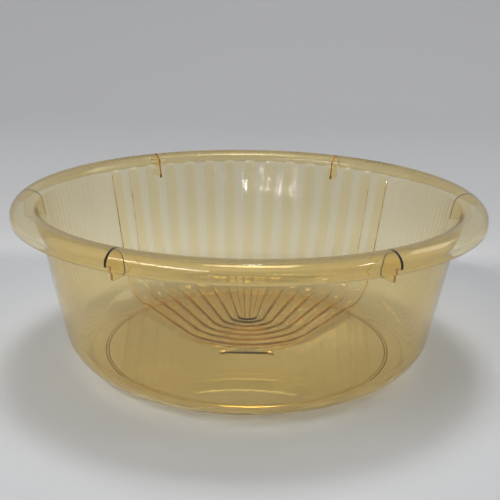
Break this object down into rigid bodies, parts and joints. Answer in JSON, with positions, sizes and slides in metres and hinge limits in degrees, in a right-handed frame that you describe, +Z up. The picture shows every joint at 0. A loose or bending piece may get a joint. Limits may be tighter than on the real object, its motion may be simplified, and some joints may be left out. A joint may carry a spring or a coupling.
{
  "type": "wash basin",
  "caption": "Round amber see-through plastic wash basin with a washboard moulded into its back wall and floor, a rolled rim on small webs and a foot ring.",
  "frame": {"origin": "middle of the foot ring's underside, on the surface that the basin stands on", "axes": "+Z up out of the basin's mouth; +Y towards the washboard in the back wall; +X to the right of someone facing the washboard"},
  "size_m": [0.4, 0.4, 0.1426],
  "materials": {
    "amber_plastic": "polished, see-through"
  },
  "bodies": {
    "root": {"floor_plate": "amber_plastic", "foot_ring": "amber_plastic", "lower_heel": "amber_plastic", "upper_heel": "amber_plastic", "side_wall": "amber_plastic", "washboard_wall": "amber_plastic", "rim_shoulder": "amber_plastic", "rim_crown": "amber_plastic", "rim_skirt_1": "amber_plastic", "rim_skirt_2": "amber_plastic", "rim_skirt_3": "amber_plastic", "rim_skirt_4": "amber_plastic", "rim_skirt_5": "amber_plastic", "rim_skirt_6": "amber_plastic", "rim_web_1": "amber_plastic", "rim_web_2": "amber_plastic", "rim_web_3": "amber_plastic", "rim_web_4": "amber_plastic", "rim_web_5": "amber_plastic", "rim_web_6": "amber_plastic", "washboard_pad": "amber_plastic", "washboard_ledge": "amber_plastic", "scrub_rib_0": "amber_plastic", "scrub_rib_1": "amber_plastic", "scrub_rib_2": "amber_plastic", "scrub_rib_3": "amber_plastic", "scrub_rib_4": "amber_plastic", "scrub_rib_5": "amber_plastic", "scrub_rib_6": "amber_plastic", "scrub_rib_7": "amber_plastic"}
  },
  "joints": []
}
